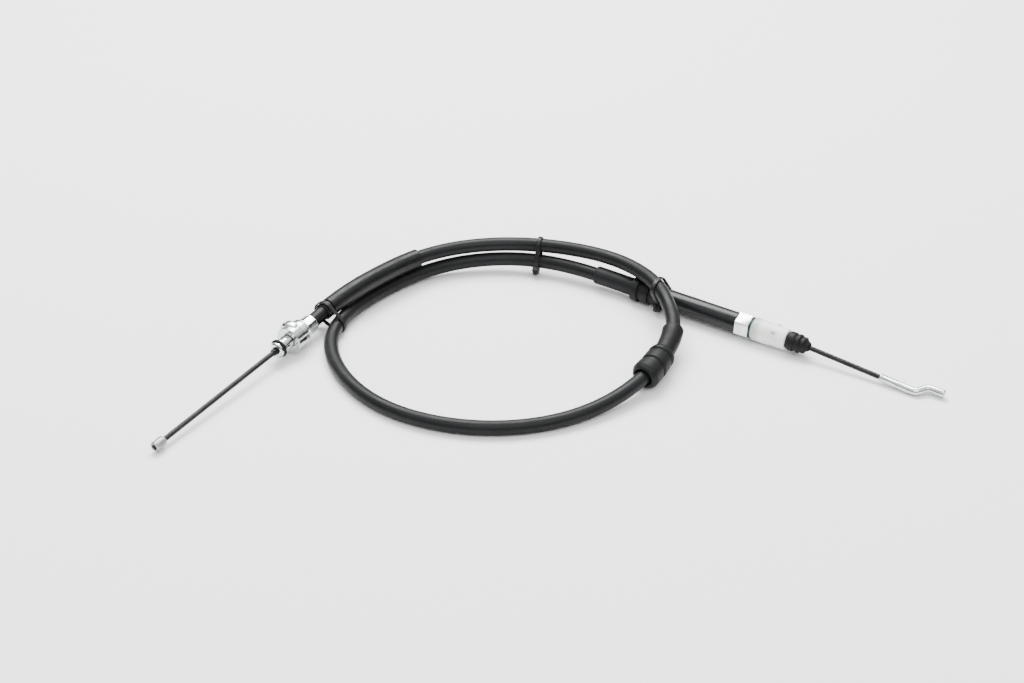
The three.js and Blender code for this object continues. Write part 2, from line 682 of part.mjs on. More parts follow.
const strand = (run, radius = jacketOuter) => ({ ...onCasing(run), radius });
const tubeMember = {
  centre: new THREE.Vector3(...BRAKE_POINT),
  along: new THREE.Vector3(0, 0, 1).transformDirection((brakeEnd.updateMatrix(), brakeEnd.matrix)),
  radius: REAR_RIM_DIAMETER / 2 - 1.4,
};

// The two facets of the casing on both sides of a run, where a tie may cross a corner between them.
const bend = (run) => [strand(run - TIE_WIDTH), strand(run + TIE_WIDTH)];

const ties = new THREE.Group();
ties.add(
  tie('cable_tie_back', [...bend(BACK_TIE_RUN), ...bend(BACK_TIE_LOWER_RUN)], BACK_TIE_AZIMUTH, 2, 215),
  tie('cable_tie_left', [strand(LEFT_TIE_RUN, END_RING_DIAMETER / 2), ...bend(LEFT_TIE_LOOP_RUN)],
    LEFT_TIE_AZIMUTH, 0, 235),
  tie('cable_tie_right', [...bend(RIGHT_TIE_RUN), tubeMember], RIGHT_TIE_AZIMUTH, 2, 200),
);

// The whole cable, with its origin under the middle of its box

const cable = new THREE.Group();
cable.add(leverEnd, casing, brakeEnd, ties);
const box = new THREE.Box3().setFromObject(cable, true);
cable.position.set(-(box.min.x + box.max.x) / 2, -(box.min.y + box.max.y) / 2, 0);

export default cable;
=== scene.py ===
"""Looks of a parking brake cable that lies on a pale table in one loose loop."""
import math

import bpy
import bmesh
import numpy as np
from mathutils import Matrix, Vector


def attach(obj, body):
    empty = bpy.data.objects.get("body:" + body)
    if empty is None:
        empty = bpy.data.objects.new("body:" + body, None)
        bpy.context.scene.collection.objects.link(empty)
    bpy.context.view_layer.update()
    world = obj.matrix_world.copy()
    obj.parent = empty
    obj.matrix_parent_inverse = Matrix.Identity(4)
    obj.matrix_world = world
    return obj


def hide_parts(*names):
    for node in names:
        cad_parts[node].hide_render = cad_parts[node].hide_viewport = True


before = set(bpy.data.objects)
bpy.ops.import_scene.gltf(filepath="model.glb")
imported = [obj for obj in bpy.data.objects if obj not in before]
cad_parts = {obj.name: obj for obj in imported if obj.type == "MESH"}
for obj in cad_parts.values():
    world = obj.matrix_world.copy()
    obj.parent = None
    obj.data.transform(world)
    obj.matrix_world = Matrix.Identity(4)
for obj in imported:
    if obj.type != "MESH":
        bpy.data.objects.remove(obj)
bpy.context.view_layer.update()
MM = 0.001
scene = bpy.context.scene

# Camera

CAMERA_PLACE = (-0.028912, -1.084373, 0.6995)
CAMERA_PITCH = 57.5
CAMERA_LENS = 66.797
CAMERA_SENSOR = 36
CAMERA_NEAR, CAMERA_FAR = 0.05, 30

camera = bpy.data.objects.new("camera", bpy.data.cameras.new("camera"))
camera.location = CAMERA_PLACE
camera.rotation_euler = (math.radians(CAMERA_PITCH), 0, 0)
camera.data.lens = CAMERA_LENS
camera.data.sensor_width = CAMERA_SENSOR
camera.data.clip_start = CAMERA_NEAR
camera.data.clip_end = CAMERA_FAR
scene.collection.objects.link(camera)
scene.camera = camera

# The casing's route: the same points as in the part's source, moved to its origin, in metres

ROUTE = [
    (-0.1776, 0.0007, 0.0110), (-0.1669, 0.0176, 0.0119), (-0.1562, 0.0345, 0.0141),
    (-0.1396, 0.0512, 0.0192), (-0.1189, 0.0758, 0.0188), (-0.0943, 0.1002, 0.0184),
    (-0.0619, 0.1138, 0.0189), (-0.0239, 0.1151, 0.0201), (0.0141, 0.1056, 0.0213),
    (0.0491, 0.0866, 0.0226), (0.0721, 0.0541, 0.0239), (0.0786, 0.0266, 0.0220),
    (0.0823, 0.0041, 0.0164), (0.0721, -0.0214, 0.0124), (0.0591, -0.0464, 0.0112),
    (0.0371, -0.0689, 0.0070), (0.0051, -0.0894, 0.0050), (-0.0369, -0.0992, 0.0050),
    (-0.0809, -0.0924, 0.0050), (-0.1189, -0.0704, 0.0050), (-0.1439, -0.0344, 0.0050),
    (-0.1544, 0.0033, 0.0052), (-0.1481, 0.0324, 0.0075), (-0.1255, 0.0692, 0.0050),
    (-0.0933, 0.0991, 0.0063), (-0.0589, 0.1104, 0.0089), (-0.0209, 0.1109, 0.0103),
    (0.0161, 0.0978, 0.0104), (0.0527, 0.0737, 0.0094), (0.0774, 0.0568, 0.0091),
    (0.1022, 0.0398, 0.0091), (0.1269, 0.0228, 0.0091), (0.1384, 0.0148, 0.0091),
]


class Route:
    """The casing's centre line as a smooth curve with directions that don't twist."""

    def __init__(self, points, per_span=48):
        p = np.array(points, float)
        q = np.vstack([2*p[0] - p[1], p, 2*p[-1] - p[-2]])
        t = np.linspace(0, 1, per_span, endpoint=False)[:, None]
        weights = np.hstack([(1 - t)**3, 3*t**3 - 6*t**2 + 4, -3*t**3 + 3*t**2 + 3*t + 1, t**3]) / 6
        spans = [weights @ q[i:i + 4] for i in range(len(q) - 3)]
        self.points = np.vstack(spans + [p[-1:]])
        steps = np.linalg.norm(np.diff(self.points, axis=0), axis=1)
        self.runs = np.r_[0, np.cumsum(steps)]
        self.length = self.runs[-1]
        tangents = np.gradient(self.points, axis=0)
        tangents /= np.linalg.norm(tangents, axis=1)[:, None]
        x = np.cross([0, 0, 1.0], tangents[0])
        normals = [x / np.linalg.norm(x)]
        for tangent in tangents[1:]:
            n = normals[-1] - tangent * (normals[-1] @ tangent)
            normals.append(n / np.linalg.norm(n))
        self.tangents = tangents
        self.normals = np.array(normals)

    def between(self, values, run):
        return np.array([np.interp(run, self.runs, values[:, k]) for k in range(3)])

    def at(self, run):
        """The centre at a run along the curve, two directions across it and one along it."""
        centre = self.between(self.points, run)
        along = self.between(self.tangents, run)
        x = self.between(self.normals, run)
        along /= np.linalg.norm(along)
        x -= along * (x @ along)
        x /= np.linalg.norm(x)
        return centre, x, np.cross(along, x), along


route = Route(ROUTE)

# Millimetres: how far the route runs on past the brake end's start, and the round sizes that pieces share

BRAKE_SPARE = 43.994
CASING_RADIUS = 5.0
WIRE_RADIUS = 1.75


def brake_run(place):
    """The run along the route of a place on the brake end, both in millimetres from their own starts."""
    return route.length/MM - BRAKE_SPARE + place


# Making meshes

def finish_mesh(name, verts, faces, uvs, body, nodes, slot, material, sharp=38):
    """Makes a piece that rides on a body and stands for nodes. Edges over sharp degrees stay sharp."""
    mesh = bpy.data.meshes.new(name)
    mesh.from_pydata([tuple(v) for v in verts], [], faces)
    layer = mesh.uv_layers.new(name="UVMap")
    layer.data.foreach_set("uv", np.array([c for f in uvs for c in f], np.float32).ravel())
    mesh.materials.append(material)
    bm = bmesh.new()
    bm.from_mesh(mesh)
    bmesh.ops.recalc_face_normals(bm, faces=bm.faces)
    for face in bm.faces:
        face.smooth = True
    limit = math.radians(sharp)
    for edge in bm.edges:
        if len(edge.link_faces) == 2 and edge.calc_face_angle(0) > limit:
            edge.smooth = False
    bm.to_mesh(mesh)
    bm.free()
    piece = bpy.data.objects.new(name, mesh)
    scene.collection.objects.link(piece)
    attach(piece, body)
    if nodes:
        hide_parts(*nodes)
    return piece


def rounded(outline, radius, steps=3):
    """Rounds the corners of a closed outline."""
    pts = [np.array(p, float) for p in outline]
    out = []
    n = len(pts)
    for i, p in enumerate(pts):
        a, b = pts[i - 1] - p, pts[(i + 1) % n] - p
        la, lb = np.linalg.norm(a), np.linalg.norm(b)
        if la < 1e-9 or lb < 1e-9:
            continue
        a, b = a/la, b/lb
        turn = math.pi - math.acos(max(-1, min(1, float(a @ b))))
        if turn < 0.12:
            out.append(p)
            continue
        reach = min(radius * math.tan(turn/2), 0.45*la, 0.45*lb)
        start, end = p + a*reach, p + b*reach
        for k in range(steps + 1):
            t = k / steps
            out.append((1 - t)**2*start + 2*t*(1 - t)*p + t*t*end)
    return [tuple(p) for p in out]


def grid_mesh(rings, closed_along=True):
    """Faces and texture places of a grid of rings. Each ring is a list of points about the axis."""
    count, sides = len(rings), len(rings[0])
    verts = [p for ring in rings for p in ring]
    runs = [0.0]
    for i in range(1, count + 1):
        step = np.array(rings[i % count][0]) - np.array(rings[i - 1][0])
        runs.append(runs[-1] + float(np.linalg.norm(step)))
    faces, uvs = [], []
    last = count if closed_along else count - 1
    for i in range(last):
        j = (i + 1) % count
        for k in range(sides):
            m = (k + 1) % sides
            faces.append((i*sides + k, i*sides + m, j*sides + m, j*sides + k))
            u0, u1 = k/sides, (k + 1)/sides
            uvs.append([(u0, runs[i]), (u1, runs[i]), (u1, runs[i + 1]), (u0, runs[i + 1])])
    return verts, faces, uvs


def capped(rings):
    """The same for a solid bar with flat ends."""
    verts, faces, uvs = grid_mesh(rings, False)
    sides = len(rings[0])
    for start, order in ((0, -1), ((len(rings) - 1)*sides, 1)):
        faces.append(tuple(start + k for k in range(sides))[::order])
        uvs.append([(0.5, 0.0)] * sides)
    return verts, faces, uvs


class Place:
    """A straight axis: a point and its directions, all in millimetres."""

    def __init__(self, origin, along, side):
        self.origin = np.array(origin, float)
        self.along = np.array(along, float)
        self.side = np.array(side, float)
        self.up = np.cross(self.along, self.side)

    def at(self, z):
        return self.origin + self.along*z, self.side, self.up, self.along


class OnRoute:
    """The same along the casing's route."""

    def at(self, z):
        centre, x, y, along = route.at(z*MM)
        return centre/MM, x, y, along


LEVER = Place((-177.612, 0.707, 11.03), (0.536768, 0.842556, 0.044491), (-0.8433914, 0.5372996, 0))
BRAKE = Place((102.188, 39.807, 9.1), (0.8241262, -0.5664062, 0), (0.5664062, 0.8241262, 0))
WIRE = Place((171.579, -7.884, 8.56), (0.8215857, -0.5646602, -0.0784591), (0.5664062, 0.8241262, 0))
CASING = OnRoute()


def shape_rings(place, outline, section, stretch=2.5):
    """Rings along a closed [radius, z] outline. Section gives a unit outline about the axis."""
    fine = []
    n = len(outline)
    for i in range(n):
        a, b = np.array(outline[i], float), np.array(outline[(i + 1) % n], float)
        parts = max(1, int(math.ceil(abs(b[1] - a[1])/stretch))) if place is CASING else 1
        fine += [a + (b - a)*k/parts for k in range(parts)]
    rings = []
    for r, z in fine:
        centre, x, y, _ = place.at(z)
        rings.append([tuple((centre + r*(x*c + y*s))*MM) for c, s in section])
    return rings


def circle(sides):
    return [(math.cos(2*math.pi*k/sides), math.sin(2*math.pi*k/sides)) for k in range(sides)]


def turned(name, place, outline, nodes, slot, material, body="casing_assembly", sides=64, radius=0.3):
    rings = shape_rings(place, rounded(outline, radius), circle(sides))
    return finish_mesh(name, *grid_mesh(rings), body, nodes, slot, material)


def bar_rings(place, radius, z0, z1, sides=24, steps=2, chamfer=0.2):
    """Rings of a round bar from z0 to z1 with chamfered ends."""
    stations = [z0] + list(np.linspace(z0 + chamfer, z1 - chamfer, steps)) + [z1]
    radii = [radius - chamfer] + [radius]*steps + [radius - chamfer]
    rings = []
    for r, z in zip(radii, stations):
        centre, x, y, _ = place.at(z)
        rings.append([tuple((centre + r*(x*c + y*s))*MM) for c, s in circle(sides)])
    return rings


def flat_sided(count, turn, corner, steps=4):
    """A polygon of unit distance across its flats' half, with rounded corners, as [x, y] points."""
    far = 1/math.cos(math.pi/count)
    angles = [turn + 2*math.pi*i/count for i in range(count)]
    pts = [(far*math.cos(a), far*math.sin(a)) for a in angles]
    return rounded(pts, corner, steps)


def join_parts(parts):
    """One list of points, faces and texture places from several."""
    verts, faces, uvs = [], [], []
    for v, f, u in parts:
        base = len(verts)
        verts += v
        faces += [tuple(i + base for i in face) for face in f]
        uvs += u
    return verts, faces, uvs


# Materials

RIB_PITCH = 0.0024
STRAND_PITCH = 0.0032


class Nodes:
    """A short way to wire a material's nodes."""

    def __init__(self, name):
        self.material = bpy.data.materials.new(name)
        self.material.use_nodes = True
        self.tree = self.material.node_tree
        self.shader = self.tree.nodes["Principled BSDF"]

    def add(self, kind, inputs=None, **settings):
        node = self.tree.nodes.new(kind)
        for key, value in settings.items():
            setattr(node, key, value)
        for key, value in (inputs or {}).items():
            if isinstance(value, bpy.types.NodeSocket):
                self.tree.links.new(value, node.inputs[key])
            else:
                node.inputs[key].default_value = value
        return node

    def set(self, **values):
        for key, value in values.items():
            socket = self.shader.inputs[key.replace("_", " ")]
            if isinstance(value, bpy.types.NodeSocket):
                self.tree.links.new(value, socket)
            else:
                socket.default_value = value

    def math(self, operation, a, b=0.0):
        return self.add("ShaderNodeMath", {0: a, 1: b}, operation=operation).outputs[0]

    def noise(self, scale, detail=3.0, vector=None, rough=0.55):
        inputs = {"Scale": scale, "Detail": detail, "Roughness": rough}
        inputs["Vector"] = vector or self.add("ShaderNodeTexCoord").outputs["Object"]
        return self.add("ShaderNodeTexNoise", inputs).outputs["Fac"]

    def ramp(self, value, low, high, to_low, to_high):
        node = self.add("ShaderNodeMapRange", {"Value": value, "From Min": low, "From Max": high,
                                               "To Min": to_low, "To Max": to_high})
        return node.outputs["Result"]

    def uv(self):
        split = self.add("ShaderNodeSeparateXYZ", {"Vector": self.add("ShaderNodeUVMap").outputs["UV"]})
        return split.outputs["X"], split.outputs["Y"]

    def mix(self, factor, a, b):
        node = self.add("ShaderNodeMix", data_type="RGBA")
        for index, value in ((0, factor), (6, a), (7, b)):
            if isinstance(value, bpy.types.NodeSocket):
                self.tree.links.new(value, node.inputs[index])
            else:
                node.inputs[index].default_value = value if index == 0 else (*value, 1)
        return node.outputs[2]

    def patchy(self, value, low, high, start=0.35, end=0.7):
        """A colour that goes from low to high where a noise value rises from start to end."""
        return self.mix(self.ramp(value, start, end, 0, 1), low, high)

    def uneven(self, value, low, high):
        """A number that goes from low to high where a noise value rises."""
        return self.ramp(value, 0.3, 0.7, low, high)

    def bump(self, height, distance, strength=1.0, after=None):
        inputs = {"Height": height, "Distance": distance, "Strength": strength}
        if after is not None:
            inputs["Normal"] = after
        return self.add("ShaderNodeBump", inputs).outputs["Normal"]


def jacket_material():
    m = Nodes("jacket")
    u, v = m.uv()
    turns = m.math("ADD", m.math("MULTIPLY", v, 1/RIB_PITCH), u)
    ribs = m.math("SINE", m.math("MULTIPLY", turns, 2*math.pi))
    grain = m.noise(900, 4)
    patches = m.noise(26, 4)
    m.set(Base_Color=m.patchy(patches, (0.004, 0.0044, 0.0048), (0.0075, 0.008, 0.0085)),
          Roughness=m.uneven(m.noise(60, 4), 0.36, 0.5),
          Specular_IOR_Level=0.16,
          Normal=m.bump(grain, 0.00006, 0.5, m.bump(ribs, 0.00003)))
    return m.material


def rubber_material(name="rubber", color=(0.0045, 0.0048, 0.0052), rough=(0.45, 0.62)):
    m = Nodes(name)
    dust = m.noise(45, 5)
    m.set(Base_Color=m.patchy(dust, color, tuple(c*1.9 for c in color), 0.45, 0.75),
          Roughness=m.uneven(m.noise(80, 4), *rough),
          Specular_IOR_Level=0.16,
          Normal=m.bump(m.noise(700, 3), 0.00006, 0.6, m.bump(m.noise(160, 3), 0.0002, 0.25)))
    return m.material


def sleeve_material():
    m = Nodes("sleeve")
    u, v = m.uv()
    stretched = m.add("ShaderNodeCombineXYZ", {"X": m.math("MULTIPLY", u, 5.0),
                                               "Y": m.math("MULTIPLY", v, 28.0)}).outputs[0]
    scuffs = m.noise(3.0, 6, stretched, 0.65)
    worn = m.ramp(scuffs, 0.58, 0.68, 0, 1)
    m.set(Base_Color=m.mix(worn, (0.004, 0.0043, 0.0046), (0.014, 0.014, 0.014)),
          Roughness=m.ramp(scuffs, 0.35, 0.7, 0.3, 0.52),
          Specular_IOR_Level=0.18,
          Normal=m.bump(scuffs, 0.0003, 0.3, m.bump(m.noise(500, 3), 0.00005, 0.5)))
    return m.material


def wire_material():
    m = Nodes("coated_cable")
    u, v = m.uv()
    lay = m.math("ADD", m.math("MULTIPLY", u, 8.0), m.math("MULTIPLY", v, 1/STRAND_PITCH))
    strands = m.math("SINE", m.math("MULTIPLY", lay, 2*math.pi))
    m.set(Base_Color=m.patchy(m.noise(120, 4), (0.006, 0.006, 0.007), (0.014, 0.014, 0.015), 0.4),
          Roughness=m.uneven(m.noise(200, 3), 0.3, 0.45),
          Specular_IOR_Level=0.2, Normal=m.bump(strands, 0.00004, 0.7))
    return m.material


def zinc_material(name="zinc", low=(0.5, 0.52, 0.52), high=(0.7, 0.72, 0.72), rough=(0.1, 0.22)):
    m = Nodes(name)
    u, v = m.uv()
    turned_lines = m.add("ShaderNodeCombineXYZ", {"X": m.math("MULTIPLY", u, 0.6), "Y": v}).outputs[0]
    lines = m.noise(2600, 3, turned_lines)
    patches = m.noise(110, 5)
    m.set(Base_Color=m.patchy(patches, low, high), Metallic=1.0,
          Roughness=m.uneven(m.noise(260, 4), *rough),
          Normal=m.bump(lines, 0.00003, 0.35, m.bump(patches, 0.0003, 0.12)))
    return m.material


def cast_material():
    m = Nodes("die_cast")
    pits = m.noise(850, 4)
    stains = m.noise(190, 4)
    m.set(Base_Color=m.patchy(stains, (0.22, 0.22, 0.215), (0.42, 0.42, 0.41)),
          Metallic=0.85, Roughness=m.uneven(pits, 0.36, 0.6), Normal=m.bump(pits, 0.00012, 0.7))
    return m.material


def tube_material():
    m = Nodes("tube")
    m.set(Base_Color=m.mix(m.noise(20, 3), (0.005, 0.0055, 0.006), (0.009, 0.0095, 0.01)),
          Roughness=m.uneven(m.noise(90, 4), 0.2, 0.32), Specular_IOR_Level=0.22,
          Normal=m.bump(m.noise(140, 3), 0.0001, 0.15))
    return m.material


def clip_material():
    m = Nodes("clip")
    haze = m.noise(170, 5)
    u, v = m.uv()
    white = m.patchy(haze, (0.84, 0.86, 0.83), (0.93, 0.94, 0.91))
    m.set(Base_Color=m.mix(m.ramp(v, 0.0045, 0.0115, 0, 1), (0.42, 0.5, 0.44), white),
          Roughness=m.uneven(m.noise(400, 4), 0.26, 0.42), Subsurface_Weight=0.6,
          Subsurface_Scale=0.0035, Transmission_Weight=0.12, IOR=1.45,
          Normal=m.bump(m.noise(260, 3), 0.00015, 0.4))
    m.shader.inputs["Subsurface Radius"].default_value = (1.0, 1.1, 0.9)
    return m.material


def plain_material(name, low, high, rough, metallic=0.0, scale=200, specular=0.5):
    m = Nodes(name)
    grain = m.noise(scale, 4)
    m.set(Base_Color=m.patchy(grain, low, high), Metallic=metallic,
          Roughness=m.uneven(grain, *rough), Specular_IOR_Level=specular,
          Normal=m.bump(grain, 0.00006, 0.4))
    return m.material


JACKET = jacket_material()
RUBBER = rubber_material()
SLEEVE = sleeve_material()
WIRE_COAT = wire_material()
ZINC = zinc_material()
CAST = cast_material()
TUBE = tube_material()
CLIP = clip_material()
SEAL = rubber_material("seal", (0.03, 0.05, 0.04), (0.3, 0.45))
TIE = plain_material("tie", (0.006, 0.006, 0.0065), (0.011, 0.011, 0.012), (0.35, 0.5),
                     scale=300, specular=0.2)
STEEL_WRAP = plain_material("steel_wrap", (0.4, 0.41, 0.42), (0.5, 0.51, 0.52), (0.35, 0.5), 1.0)
LINER = plain_material("liner", (0.64, 0.64, 0.6), (0.7, 0.7, 0.66), (0.4, 0.55))

for node, material in (("casing_wire_wrap", STEEL_WRAP), ("casing_liner", LINER), ("inner_cable", WIRE_COAT),
                       ("lever_end_bush", TUBE)):
    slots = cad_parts[node].data.materials
    slots.clear()
    slots.append(material)

# The casing

CASING_START = 13.1
CASING_END = brake_run(37.1)
casing_runs = np.linspace(CASING_START, CASING_END, 330)
casing_rings = []
for run in casing_runs:
    centre, x, y, _ = CASING.at(run)
    casing_rings.append([tuple((centre + CASING_RADIUS*(x*c + y*s))*MM) for c, s in circle(36)])
casing = finish_mesh("casing", *capped(casing_rings), "casing_assembly", ["casing_jacket"], "jacket", JACKET)

# Lever end

turned("nipple", LEVER, [
    (2.0, -140), (2.85, -140), (3.4, -139.45), (3.4, -138.9), (3.22, -138.8), (3.22, -138.5), (3.4, -138.4),
    (3.4, -137.8), (3.25, -137.7), (3.25, -137.4), (3.4, -137.3), (3.4, -131.8), (2.85, -131.2),
    (2.0, -131.2)],
    ["cable_nipple"], "die_cast", CAST, "lever_core", 48, 0.15)
finish_mesh("lever_wire", *capped(bar_rings(LEVER, WIRE_RADIUS, -139, 21.4, 24, 12)), "lever_core",
            ["inner_cable_lever_end"], "coated_cable", WIRE_COAT)

nose = [
    (2.75, -18), (4.6, -18), (5.7, -17.3), (5.7, -15.8), (4.0, -15.8), (4.0, -12.9), (5.7, -12.9),
    (5.7, -12.0), (5.2, -11.4), (5.2, -5.4), (4.8, -4.5), (4.0, -4.5), (4.0, 12.1), (2.1, 12.1), (2.1, -9.3),
    (2.75, -9.3)]
skirt_section = flat_sided(8, 0, 0.12)
skirt = [(2.1, 11.6), (5.6, 11.6), (6.0, 12.2), (6.0, 20.8), (5.8, 21.4), (5.35, 21.4), (5.35, 13.0),
         (2.1, 13.0)]
body_parts = [grid_mesh(shape_rings(LEVER, rounded(nose, 0.25), circle(64))),
              grid_mesh(shape_rings(LEVER, rounded(skirt, 0.25), skirt_section))]
finish_mesh("lever_body", *join_parts(body_parts), "casing_assembly", ["lever_end_body"], "zinc", ZINC)

RING_MIDDLE, RING_PLACE, RING_RADIUS = 5.45, -14.35, 1.15
ring_angles = np.linspace(0, 2*math.pi, 20)[:-1]
ring_points = [(RING_MIDDLE + RING_RADIUS*math.cos(a), RING_PLACE + RING_RADIUS*math.sin(a))
               for a in ring_angles]
turned("seal_ring", LEVER, ring_points, ["lever_end_seal_ring"], "rubber", RUBBER, radius=0.01)
collar_outline = [
    (4.3, -4.2), (9.3, -4.2), (9.7, -3.9), (9.7, -3.05), (9.45, -2.8), (9.15, -2.7), (9.1, -2.3), (9.1, 4.6),
    (8.95, 4.75), (8.95, 5.05), (9.1, 5.2), (9.1, 6.2), (8.95, 6.35), (8.95, 6.65), (9.1, 6.8), (9.1, 7.8),
    (8.5, 8.4), (4.3, 8.4)]
LOBE_TURN, LOBE_OFFSET = math.radians(42.5), 3.2
lobe_shift = LOBE_OFFSET*(LEVER.side*math.cos(LOBE_TURN) + LEVER.up*math.sin(LOBE_TURN))
lobe_place = Place(LEVER.origin + lobe_shift, LEVER.along, LEVER.side)
lobe_outline = [(5.8, -1.2), (6.9, -1.2), (8.5, 0.4), (8.5, 4.2), (6.9, 5.8), (5.8, 5.8)]
finish_mesh("flange", *join_parts([
    grid_mesh(shape_rings(LEVER, rounded(collar_outline, 0.2), circle(96))),
    grid_mesh(shape_rings(lobe_place, rounded(lobe_outline, 0.9), circle(96)))]),
    "casing_assembly", ["stop_flange_collar"], "zinc", ZINC)
LOCK_START, LOCK_LENGTH, LOCK_GROOVES = 8.7, 2.6, 3
lock_outline = [(4.3, LOCK_START)]
for i in range(LOCK_GROOVES):
    z = LOCK_START + i*LOCK_LENGTH/LOCK_GROOVES
    lock_outline += [(7.8, z), (8.2, z + 0.29), (8.2, z + 0.58)]
lock_outline += [(7.8, 11.3), (4.3, 11.3)]
turned("lock_ring", LEVER, lock_outline, ["collar_lock_ring"], "zinc", ZINC, radius=0.12)

# Pieces on the casing

turned("end_ring", CASING, [(5.3, 34.4), (5.8, 34.4), (6.1, 34.9), (6.1, 40.2), (5.8, 40.7), (5.3, 40.7)],
       ["sleeve_end_ring"], "rubber", TIE, radius=0.2)
turned("sleeve", CASING, [(5.3, 41), (6.35, 41), (6.6, 41.3), (6.6, 125.7), (6.4, 126), (5.3, 126)],
       ["protective_sleeve"], "sleeve", SLEEVE, radius=0.2)
turned("front_grommet", CASING, [
    (5.3, 372), (6.7, 372), (7.3, 373), (6.9, 398), (8.65, 399), (9.25, 401), (9.25, 403), (8.15, 403.8),
    (8.15, 405.2), (9.45, 406), (9.65, 414), (8.45, 414.8), (8.45, 416.8), (9.8, 417.6), (9.8, 424.5),
    (8.4, 427), (7.3, 428), (6.3, 427.6), (5.3, 423)], ["front_grommet"], "rubber", RUBBER, radius=0.7)
rear_start, rear_end = brake_run(-85), brake_run(-30.3)
rear_outline = [(r, rear_start + z) for r, z in (
    (5.3, 0), (5.8, 0), (6.4, 1), (6.4, 30.8), (8.8, 31.8), (8.8, 36.8), (7.2, 37.4), (7.2, 38.8),
    (8.4, 39.4), (8.4, 45.4), (7.0, 46), (7.0, 47.8), (7.6, 48.4), (7.6, 51.8), (7.0, 52.4))]
turned("rear_grommet", CASING, rear_outline + [(7.0, rear_end), (5.3, rear_end)], ["rear_grommet"], "rubber",
       RUBBER, radius=0.45)

# Brake end

turned("tube", BRAKE, [(5.5, -30), (7.0, -30), (7.25, -29.6), (7.25, 29.3), (7.0, 29.7), (5.5, 29.7)],
       ["guide_tube"], "tube", TUBE, radius=0.3)
HEX_TURN = math.radians(25)
hex_section = flat_sided(6, HEX_TURN, 0.09)
hexagon = [(2.1, 30), (7.4, 30), (7.7, 30.4), (7.7, 40), (7.4, 40.4), (2.1, 40.4)]
hex_ferrule = finish_mesh("hex_ferrule", *grid_mesh(shape_rings(BRAKE, rounded(hexagon, 0.3), hex_section)),
                          "casing_assembly", ["hex_crimp_ferrule"], "zinc", ZINC)
turned("seal", BRAKE, [(4.8, 40.7), (7.1, 40.7), (7.3, 40.9), (7.3, 41.5), (7.1, 41.7), (4.8, 41.7)],
       ["ferrule_seal"], "seal", SEAL)

clip_parts = [grid_mesh(shape_rings(BRAKE, rounded([
    (4.8, 42.0), (7.4, 42.0), (8.0, 42.6), (8.0, 46.2), (7.8, 46.5), (7.8, 47.0), (8.0, 47.3), (8.0, 52.6),
    (7.6, 53.3), (7.75, 54.2), (7.3, 67.2), (6.9, 67.7), (4.8, 67.7)], 0.25), circle(64)))]
NUB_COUNT, NUB_PLACE, NUB_RADIUS, NUB_LENGTH, NUB_WIDTH = 4, 58.2, 7.4, 1.6, 0.8
for i in range(NUB_COUNT):
    a = math.pi/4 + i*math.pi/2
    out = BRAKE.side*math.cos(a) + BRAKE.up*math.sin(a)
    centre = BRAKE.origin + BRAKE.along*NUB_PLACE + out*NUB_RADIUS
    across = np.cross(BRAKE.along, out)
    rings = []
    for depth, size in ((-0.6, 1.0), (0.55, 1.0), (0.95, 0.8), (1.05, 0.5)):
        rings.append([tuple((centre + out*depth + BRAKE.along*NUB_LENGTH*size*x + across*NUB_WIDTH*size*y)*MM)
                      for x, y in rounded([(-1, -1), (1, -1), (1, 1), (-1, 1)], 0.3, 3)])
    clip_parts.append(capped(rings))
finish_mesh("clip", *join_parts(clip_parts), "casing_assembly", ["snap_clip"], "clip", CLIP)

turned("boot", BRAKE, [
    (4.8, 68.0), (5.7, 68.0), (6.7, 69.6), (6.7, 73.0), (5.8, 74.2), (6.6, 75.4), (6.6, 77.2), (5.3, 78.2),
    (5.7, 79.2), (5.7, 80.8), (4.0, 82.0), (3.5, 83.0), (2.9, 84.2), (2.1, 84.2), (2.0, 80.2), (4.8, 79.2)],
    ["brake_end_boot"], "rubber", RUBBER, radius=0.5)
finish_mesh("brake_wire", *capped(bar_rings(WIRE, WIRE_RADIUS, -12, 62.9, 24, 8)), "brake_core",
            ["inner_cable_brake_end"], "coated_cable", WIRE_COAT)

HOOK = [(0, 0, 0), (10, -0.2, 0), (18, -0.4, 0), (22.6, -0.6, 0.2), (25.6, -0.9, 0.5), (27.8, 1.6, 0.9),
        (29.6, 4.9, 1.5), (31.6, 6.9, 1.9), (35.5, 6.6, 2.2), (39, 6.6, 2.4), (43.1, 6.6, 2.5)]
HOOK_START, HOOK_RADIUS, HOOK_ROUNDING, HOOK_SIDES = 52.2, 2.7, 0.7, 28
CRIMP_START, CRIMP_END, CRIMP_DEPTH = 1.5, 13, 0.16
hook_line = Route([[HOOK_START + z, x, y] for z, x, y in HOOK], 12)
hook_rings = []
hook_end = hook_line.length
hook_runs = np.r_[0, 0.3, np.linspace(0.8, hook_end - 0.9, 96), hook_end - 0.35, hook_end]
for run in hook_runs:
    p, x, y, _ = hook_line.at(run)
    edge = min(run, hook_end - run)
    trim = 0 if edge > HOOK_ROUNDING else 0.55*(1 - edge/HOOK_ROUNDING)**2
    r = HOOK_RADIUS - trim
    crimp = CRIMP_DEPTH if CRIMP_START < run < CRIMP_END else 0.0
    ring = []
    for k in range(HOOK_SIDES):
        a = 2*math.pi*k/HOOK_SIDES
        q = p + (x*math.cos(a) + y*math.sin(a))*(r - crimp*abs(math.cos(2*a)))
        ring.append(tuple((WIRE.origin + WIRE.along*q[0] + WIRE.side*q[1] + WIRE.up*q[2])*MM))
    hook_rings.append(ring)
finish_mesh("hook", *capped(hook_rings), "brake_core", ["brake_hook"], "zinc",
            zinc_material("hook_zinc", (0.5, 0.52, 0.52), (0.68, 0.7, 0.7), (0.1, 0.22)))

# Cable ties

TIE_SLACK, TIE_THICK, TIE_WIDE = 0.3, 1.0, 3.0


